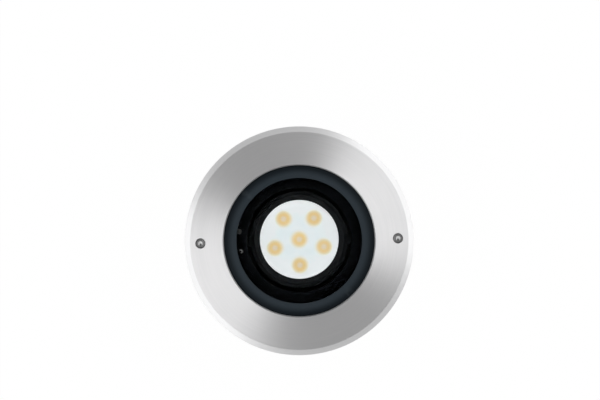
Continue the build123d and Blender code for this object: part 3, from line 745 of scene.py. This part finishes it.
def socketScrew(name, s, material):
    # a screw on the Z axis: rounded head, hexagon socket with a drilled bottom, threaded shank
    top, seat, core, drillRadius = s.top, s.top + s.headHeight, s.shank - 0.35, s.socket * 0.32
    end, run, socketEnd = seat + s.length, s.length - 1.2, top + s.socketDepth
    head = turn(name, [
        (0, top), (s.crown, top, 0.2), (s.headRadius, top + s.headDrop, s.headRound), (s.headRadius, seat, 0.15),
        (core, seat, 0.1), (core, end, 0.4), (0, end)], material, 40)
    socket = prism("socket", 6, s.socket, top - 1, socketEnd)
    drill = turn("drill", [(0, top - 1), (drillRadius, top - 1), (drillRadius, socketEnd), (0, socketEnd + 0.5)],
        material, 24)
    head = carved(head, socket, drill)
    ridge = grow("ridge", screwThread, Radius=s.shank * mm, Turns=run / s.pitch, Length=run * mm, Depth=0.75 * mm,
        Material=material)
    ridge.data.transform(Matrix.Translation((0, 0, heightAt(end - 0.6))))
    return joined(name, head, ridge)


trimScrew = Sizes(top=0.2, headHeight=3.5, headRadius=4.25, headDrop=0.9, headRound=0.5, crown=2.9, socket=3.4,
    socketDepth=1.3, shank=2.5, length=16, pitch=0.8)
bezelScrew = Sizes(top=6.3, headHeight=2.2, headRadius=3.5, headDrop=0.4, headRound=0.3, crown=2.9, socket=2.5,
    socketDepth=1.3, shank=2, length=10, pitch=0.7, circle=72.5, count=4, start=45)


def makeTrimScrews(s):
    screw = socketScrew("screw", s, paint["trim_screw_steel"])
    screw.data.transform(outBy(trim.screwCircle))
    settle(ringOf("trimScrews", screw, 2), "trim", "trim_screws")


makeTrim(trim)
makeTrimScrews(trimScrew)
print("trim and its screws made")


# bezel, glass and gaskets

bezel = Sizes(inner=55, outer=65.6, innerTop=4.3, outerTop=2, flange=78.5, flangeTop=8.5, flangeBottom=11.5,
    pocket=63.5, roof=5.5, hole=2.3)
glass = Sizes(radius=61.5, top=6.5, bottom=16.5, arris=0.7)
gasket = Sizes(lip=58.3, outer=63.3, top=5.5, bottom=17.5, gap=0.02)
trimSeal = Sizes(inner=84, outer=95, top=6, bottom=7, hole=4.2)


def makeBezel(b, s):
    coat = paint["bezel_metal"]
    ring = turn("bezel", [
        (b.inner, b.innerTop, 0.3), (b.outer, b.outerTop, 0.35), (b.outer, b.flangeTop, 0.6),
        (b.flange, b.flangeTop, 0.3), (b.flange, b.flangeBottom, 0.3), (b.pocket, b.flangeBottom, 0.2),
        (b.pocket, b.roof, 0.1), (b.inner, b.roof, 0.2)], coat, 192)
    hole = turn("hole", straight(b.hole, 0, b.flangeBottom + 1.5), coat, 32, at=s.circle)
    settle(carved(ring, ringOf("holes", hole, s.count, s.start)), "well", "glass_bezel")
    screw = socketScrew("screw", s, paint["screw_steel"])
    screw.data.transform(outBy(s.circle))
    settle(ringOf("bezelScrews", screw, s.count, s.start), "well", "bezel_screws")


def makeGlass(g, k, t):
    pane = turn("glass", straight(g.radius, g.top, g.bottom, g.arris, g.arris), paint["clear_glass"], 192)
    settle(pane, "well", "glass_lens")
    groove, above, below = g.radius + k.gap, g.top - k.gap, g.bottom + k.gap
    channel = turn("glassGasket", [
        (k.lip, k.top, 0.3), (k.outer, k.top, 0.4), (k.outer, k.bottom, 0.4), (k.lip, k.bottom, 0.3),
        (k.lip, below, 0.3), (groove, below), (groove, above), (k.lip, above, 0.3)], paint["gasket_rubber"], 160, 3)
    settle(channel, "well", "glass_gasket")
    rubber = paint["trim_gasket_rubber"]
    band = turn("trimGasket", [(t.inner, t.top, 0.3), (t.outer, t.top, 0.3), (t.outer, t.bottom, 0.3),
        (t.inner, t.bottom, 0.3)], rubber, 160, 2)
    hole = turn("hole", straight(t.hole, t.top - 1, t.bottom + 1), rubber, 32, at=trim.screwCircle)
    settle(carved(band, ringOf("holes", hole, 2)), "well", "trim_gasket")


makeBezel(bezel, bezelScrew)
makeGlass(glass, gasket, trimSeal)
print("bezel and glass made")


# turntable: pointer, lock screw and pivot screws

pointer = Sizes(turn=170.5, base=57, tip=51.9, shoulder=52.9, width=4.6, tipWidth=2.6, top=20.52, bottom=21.92)
lockScrew = Sizes(top=20.12, headHeight=1.8, headRadius=2.4, headDrop=0.3, headRound=0.3, crown=2, socket=2,
    socketDepth=1.1, shank=1.5, length=24.7, pitch=0.5, reach=53.1, turn=189.5)
pivotScrew = Sizes(top=113.3, headHeight=2.2, headRadius=3.5, headDrop=0.4, headRound=0.4, crown=2.6, socket=2.5,
    socketDepth=1.2, shank=2, length=8.7, pitch=0.7, depth=31.92)


def makeTurntableTrim(p, k, v):
    # an arrow-ended tab that points at the scale, and beside it the screw that locks the turntable
    tip, side = p.tipWidth / 2, p.width / 2
    tab = edged(extruded("panPointer", [
        (p.base, -side), (p.base, side), (p.shoulder, side), (p.tip, tip), (p.tip, -tip), (p.shoulder, -side)],
        p.top, p.bottom, paint["pointer_metal"]), 0.2)
    tab.data.transform(turnBy(p.turn))
    settle(tab, "turntable", "pan_pointer")
    lock = socketScrew("panLockScrew", k, paint["lock_screw_steel"])
    lock.data.transform(turnBy(k.turn) @ outBy(k.reach))
    settle(lock, "turntable", "pan_lock_screw")
    # a pivot screw is made upright, laid along X with its head outwards, and turned to the other side
    pivot = socketScrew("screw", v, pivotBlack)
    pivot.data.transform(Matrix.Translation((0, 0, heightAt(v.depth))) @ turnBy(90, "Y"))
    settle(ringOf("pivotScrews", pivot, 2), "head", "pivot_screws")


makeTurntableTrim(pointer, lockScrew, pivotScrew)
print("pointer and screws made")


# lamp head

optic = Sizes(rimInner=40, rimOuter=44, rimTop=29.92, skirt=39.92, barrel=41, seat=35.9, seatTop=35.92,
    seatBottom=37.92, bore=33.8, bottom=49.82, bossRadius=5, bossIn=40.8, bossOut=46.2, pivot=31.92, pivotHole=2.05)
disc = Sizes(radius=35.6, top=35.92, bottom=37.92, lip=1, dip=0.25)
sink = Sizes(radius=41, top=49.82, finTop=54.82, finBottom=67.42, finCount=9, pitch=8.44, finThick=1.8, finCircle=38,
    sunk=0.1)
board = Sizes(radius=33.5, top=48.22, bottom=49.82, circle=23.3, spots=5, start=-90, chip=3.5, chipTop=47.52,
    seatDrop=0.35, dome=1.35, domeRise=0.4)


def makeHead(o, d, h):
    skin, metal, height = paint["head_metal"], paint["sink_metal"], heightAt(o.pivot) / mm
    barrel = turn("opticHousing", [
        (o.rimOuter - 0.6, o.rimTop, 0.2), (o.rimOuter, o.rimTop + 0.6, 0.3), (o.rimOuter, o.skirt, 0.4),
        (o.barrel, o.skirt, 0.6), (o.barrel, o.bottom, 0.2), (o.bore, o.bottom), (o.bore, o.seatBottom),
        (o.seat, o.seatBottom), (o.seat, o.seatTop, 0.15), (o.rimInner, o.rimTop, 0.35)], skin, 160)
    boss = turnAlong("boss", straight(o.bossRadius, o.bossIn, o.bossOut, 0, 0.4), skin, "X", height, 48)
    above = extruded("above", oblong(38, 48, 8), o.rimTop - 9, o.rimTop)
    shank = turnAlong("shank", straight(o.pivotHole, o.bossIn - 1.8, o.bossOut + 1.8), skin, "X", height, 32)
    bosses = ringOf("bosses", carved(boss, above, shank), 2)
    settle(joined("opticHousing", barrel, bosses), "head", "optic_housing")
    face = d.top + d.dip
    frost = turn("diffuserDisc", [
        (0, face), (d.radius - d.lip - 0.4, face, 0.4), (d.radius - d.lip, d.top, 0.15), (d.radius, d.top, 0.35),
        (d.radius, d.bottom, 0.2), (0, d.bottom)], paint["diffuser_plastic"], 160)
    settle(frost, "head", "diffuser_disc")
    base = turn("base", straight(h.radius, h.top, h.finTop, 0.3, 0.4), metal, 128)
    fins = grow("fins", finsInCircle, Count=h.finCount, Pitch=h.pitch * mm, Circle=h.finCircle * mm,
        Thickness=h.finThick * mm, Top=heightAt(h.finTop - h.sunk),
        Height=(h.finBottom - h.finTop + h.sunk) * mm, Material=metal)
    settle(joined("heatSink", base, edged(tidied(fins), 0.25)), "head", "heat_sink")


def makeBoard(b):
    # a white board with six emitters: a square seat with a clear dome on it
    plate = turn("ledBoard", straight(b.radius, b.top, b.bottom, 0.1, 0.1), paint["board_white"], 96)
    settle(plate, "head", "led_board")
    amber, emitters = paint["led_amber"], []
    for _ in range(2):
        seat = edged(prism("seat", 4, b.chip, b.chipTop + b.seatDrop, b.top, amber, pi / 4), 0.12)
        dome = turn("dome", straight(b.dome, b.chipTop, b.chipTop + b.domeRise, 0.6), amber, 32)
        emitters.append(joined("emitter", seat, dome))
    middle, outer = emitters
    outer.data.transform(outBy(b.circle))
    settle(joined("ledChips", middle, ringOf("spots", outer, b.spots, b.start)), "head", "led_chips")


makeHead(optic, disc, sink)
makeBoard(board)
print("lamp head made")


# lamp housing

can = Sizes(inner=54, floorTop=103.945, ledge=46.92, bore=58, grooveTop=42.32, groove=59, grooveBottom=43.62,
    seat=17.5, rebate=63.5, flangeTop=11.5, flange=79, flangeBottom=20.5, neck=62, shoulder=50.92, body=58,
    bottom=107.945, screwHole=2.05, screwHoleEnd=19.5, glandHole=10.05, ventHole=6.05, ventAt=38, posts=3,
    postRadius=4.5, postAt=50.5, postTop=79.545, postEnd=104.9, postStart=30)
# a rib wraps from the flange down the wall and under the floor
canRib = Sizes(count=12, start=15, thick=3, top=19.5, neck=61, outer=72, heel=68, heelAt=111.945, toe=62,
    bottom=117.945, end=24, floor=106.945, wall=57)


def makeCan(c, r):
    skin = paint["housing_metal"]
    shell = turn("lampHousing", [
        (0, c.floorTop), (c.inner, c.floorTop, 1.5), (c.inner, c.ledge, 0.4), (c.bore, c.ledge, 0.2),
        (c.bore, c.grooveBottom), (c.groove, c.grooveBottom), (c.groove, c.grooveTop), (c.bore, c.grooveTop, 0.2),
        (c.bore, c.seat, 0.3), (c.rebate, c.seat, 0.2), (c.rebate, c.flangeTop, 0.4), (c.flange, c.flangeTop, 0.5),
        (c.flange, c.flangeBottom, 0.5), (c.neck, c.flangeBottom, 1.5), (c.neck, c.shoulder, 1),
        (c.body, c.shoulder, 0.8), (c.body, c.bottom, 2), (0, c.bottom)], skin, 160)
    screwHole = turn("hole", straight(c.screwHole, 5, c.screwHoleEnd), skin, 24, at=bezelScrew.circle)
    gland = turn("hole", straight(c.glandHole, 99, 112), skin, 48)
    vent = turn("hole", straight(c.ventHole, 99, 112), skin, 40, at=c.ventAt)
    shell = carved(shell, ringOf("holes", screwHole, bezelScrew.count, bezelScrew.start), gland, vent)
    rib = edged(slab("rib", [
        (r.neck, r.top), (r.outer, r.top), (r.heel, r.heelAt), (r.toe, r.bottom), (r.end, r.bottom), (r.end, r.floor),
        (r.wall, r.floor), (r.wall, c.shoulder), (r.neck, c.shoulder)], r.thick, skin), 0.5)
    post = turn("post", straight(c.postRadius, c.postTop, c.postEnd, 0.4), skin, 40, at=c.postAt)
    ribs, posts = ringOf("ribs", rib, r.count, r.start), ringOf("posts", post, c.posts, c.postStart)
    settle(joined("lampHousing", shell, ribs, posts), "well", "lamp_housing")


makeCan(can, canRib)
print("lamp housing made")


# installation pot and its conduit sockets

pot = Sizes(outer=77.2, inner=74, bottom=165, floor=162, neck=83.2, neckInner=80, shoulder=23.7, ledge=20.5,
    flange=96, flangeTop=7, flangeBottom=11, anchor=84.2, anchorTop=114, anchorBottom=117, bossRadius=5.7, bossTop=10,
    bossBottom=36, webInner=75.5, webOuter=81.6, webTop=22.5, screwCircle=86.1, insertHole=4.1, insertTop=7.3,
    insertEnd=19.3, wellHole=2.8, wellEnd=34.4, drainFrom=27, drainTo=49, drainHalf=3, anchorHole=3.3,
    anchorHoleAt=58, start=45)
gusset = Sizes(count=12, start=15, thick=2.4, inner=81.6, outer=94, top=10, tip=13, foot=24)
conduit = Sizes(height=27, seat=16.05, padRadius=20.2, padFrom=70, padFace=78, knockout=75.5, sleeve=15.7,
    sleeveEnd=75.8, collar=19.2, collarTop=81, mouth=96, bore=12.7, stop=78, stopHole=10.5)


def makePot(p, g, c):
    skin, through = paint["pot_plastic"], (p.floor - 2, p.bottom + 2)
    shell = turn("pot", [
        (0, p.bottom), (p.outer, p.bottom, 2), (p.outer, p.anchorBottom, 1.2), (p.anchor, p.anchorBottom, 0.8),
        (p.anchor, p.anchorTop, 0.8), (p.outer, p.anchorTop, 1.2), (p.outer, p.shoulder, 1.5),
        (p.neck, p.shoulder, 1.5), (p.neck, p.flangeBottom, 1.5), (p.flange, p.flangeBottom, 0.8),
        (p.flange, p.flangeTop, 0.4), (p.neckInner, p.flangeTop, 0.4), (p.neckInner, p.ledge, 0.5),
        (p.inner, p.ledge, 0.6), (p.inner, p.floor, 2), (0, p.floor)], skin, 192)
    well = turn("well", [(0, 5), (p.insertHole, 5), (p.insertHole, p.insertEnd), (p.wellHole, p.insertEnd),
        (p.wellHole, p.wellEnd), (0, p.wellEnd)], skin, 40, at=p.screwCircle)
    drain = extruded("drain", oblong(p.drainFrom, p.drainTo, p.drainHalf), *through, skin)
    hole = turn("hole", straight(p.anchorHole, *through), skin, 32, at=p.anchorHoleAt)
    rear, front = (turnAlong("seat", straight(c.seat, *ends), skin, "Y", c.height, 72)
        for ends in ((60, 80), (-80, -c.knockout)))
    shell = carved(shell, ringOf("wells", well, 2), ringOf("drains", drain, 4, p.start),
        ringOf("holes", hole, 4, p.start), rear, front)
    plate = slab("gusset", [(g.inner, g.top), (g.outer, g.top), (g.outer, g.tip), (g.inner, g.foot)], g.thick, skin)
    gussets = ringOf("gussets", edged(plate, 0.4), g.count, g.start)
    boss = turn("boss", [
        (0, p.wellEnd), (p.wellHole, p.wellEnd), (p.wellHole, p.insertEnd), (p.insertHole, p.insertEnd),
        (p.insertHole, p.bossTop), (p.bossRadius, p.bossTop), (p.bossRadius, p.bossBottom, 0.6), (0, p.bossBottom)],
        skin, 48, at=p.screwCircle)
    foot = p.bossBottom - 0.4
    web = edged(slab("web", [(p.webInner, p.webTop), (p.webOuter, p.webTop), (p.webOuter, foot), (p.webInner, foot)],
        p.bossRadius, skin), 0.4)
    bosses = ringOf("bosses", joined("boss", boss, web), 2)
    pad = turnAlong("pad", [(c.seat, c.padFrom), (c.padRadius, c.padFrom), (c.padRadius, c.padFace, 0.5),
        (c.seat, c.padFace, 0.3)], skin, "Y", c.height, 72)
    middle = turn("middle", straight(p.outer - 0.6, 100, 170), skin, 192)
    pads = ringOf("pads", carved(pad, middle), 2)
    settle(joined("pot", shell, gussets, bosses, pads), "well", "installation_pot")
    sleeve = turnAlong("sleeve", [
        (c.stopHole, c.sleeveEnd, 0.3), (c.sleeve, c.sleeveEnd, 0.3), (c.sleeve, c.padFace, 0.2),
        (c.collar, c.padFace, 0.3), (c.collar, c.collarTop, 0.6), (c.sleeve, c.collarTop, 0.8),
        (c.sleeve, c.mouth, 0.6), (c.bore, c.mouth, 0.9), (c.bore, c.stop, 0.2), (c.stopHole, c.stop, 0.4)],
        paint["socket_plastic"], "Y", c.height, 80)
    settle(ringOf("conduitSockets", sleeve, 2), "well", "conduit_sockets")


def makeInserts(p):
    insert = turn("insert", [
        (p.wellHole, p.insertTop, 0.3), (p.insertHole, p.insertTop, 0.3), (p.insertHole, p.insertEnd, 0.3),
        (p.wellHole, p.insertEnd, 0.2)], paint["brass"], 40, at=p.screwCircle)
    settle(ringOf("threadedInserts", insert, 2), "well", "threaded_inserts")


makePot(pot, gusset, conduit)
makeInserts(pot)
print("pot made")


# what still comes straight from the frame

plain = {
    "well": {"snap_ring": 0.15, "driver_tray": 0.2, "driver_case": 0.5, "terminal_block": 0.3, "gland_body": 0.3,
        "gland_seal": 0.2, "gland_dome_nut": 0.5, "vent_plug": 0.3},
    "turntable": {"pan_ring": 0.25, "baffle_plate": 0.2},
    "head": {"lens_array": 0.15},
}
for body, edges in plain.items():
    for node, edge in edges.items():
        first, *others = node.split("_")
        name = first + "".join(word.title() for word in others)
        settle(fromNode(node, name, paint[slotOf[node]], edge), body, node)
print("inner pieces made")


# camera, floor and light

view = Sizes(x=1.6, y=35.6, above=900, focal=62, roll=-1.5)
studio = Sizes(zenith=0.33, side=1, sideUpTo=0.55, zenithFrom=1, floorSize=9, floorTone=(0.86, 0.86, 0.86, 1),
    floorGlow=0.985, lampPower=12.5, lampWidth=1.9, lampDepth=1, lampAway=1.05, lampHeight=1.75, lampTurn=22)


def makeCamera(v):
    data = bpy.data.cameras.new("photo view")
    data.lens, data.sensor_width, data.clip_start = v.focal, 36, 0.01
    camera = newObject("photo view", data)
    camera.location = (v.x * mm, v.y * mm, topFace + v.above * mm)
    camera.rotation_euler = (0, 0, radians(v.roll))
    scene.camera = camera


def makeFloor(s):
    # pale for the lamps, white where the camera, metal and glass look at it, and it keeps a soft shadow
    mesh = bpy.data.meshes.new("floor")
    half = s.floorSize / 2
    mesh.from_pydata([(x, y, 0) for x, y in oblong(-half, half, half)], [], [(0, 1, 2, 3)])
    floor = newObject("floor", mesh)
    finish = Finish("pale floor", Base_Color=s.floorTone, Roughness=0.9, Specular_IOR_Level=0)
    tree = finish.tree
    glow = add(tree, "ShaderNodeEmission")
    path = add(tree, "ShaderNodeLightPath").outputs
    seen = calc(tree, "MAXIMUM", path["Is Camera Ray"], path["Is Glossy Ray"])
    seen = calc(tree, "MAXIMUM", seen, path["Is Transmission Ray"])
    mix = add(tree, "ShaderNodeMixShader", times(tree, seen, s.floorGlow), finish.shader.outputs[0], glow.outputs[0])
    link(tree, mix.outputs[0], tree.nodes["Material Output"].inputs[0])
    mesh.materials.append(finish.material)


def makeLight(s):
    world = bpy.data.worlds.new("studio")
    scene.world = world
    world.use_nodes = True
    tree = world.node_tree
    background = tree.nodes["Background"]
    up = splitVector(tree, add(tree, "ShaderNodeTexCoord").outputs["Generated"])[2]
    strength = ramp(tree, up, s.sideUpTo, s.zenithFrom, s.side, s.zenith)
    link(tree, strength, background.inputs["Strength"])
    link(tree, (1, 1, 1, 1), background.inputs["Color"])
    for side in (0, 1):
        data = bpy.data.lights.new("soft box", "AREA")
        data.shape, data.size, data.size_y, data.energy = "RECTANGLE", s.lampWidth, s.lampDepth, s.lampPower
        lamp = newObject("soft box", data)
        angle = radians(s.lampTurn + 180 * side)
        lamp.location = (s.lampAway * cos(angle), s.lampAway * sin(angle), s.lampHeight)
        lamp.rotation_euler = (Vector((0, 0, topFace)) - lamp.location).to_track_quat("-Z", "Y").to_euler()


makeCamera(view)
makeFloor(studio)
makeLight(studio)
scene.view_settings.view_transform = "Standard"
print("camera, floor and light set")
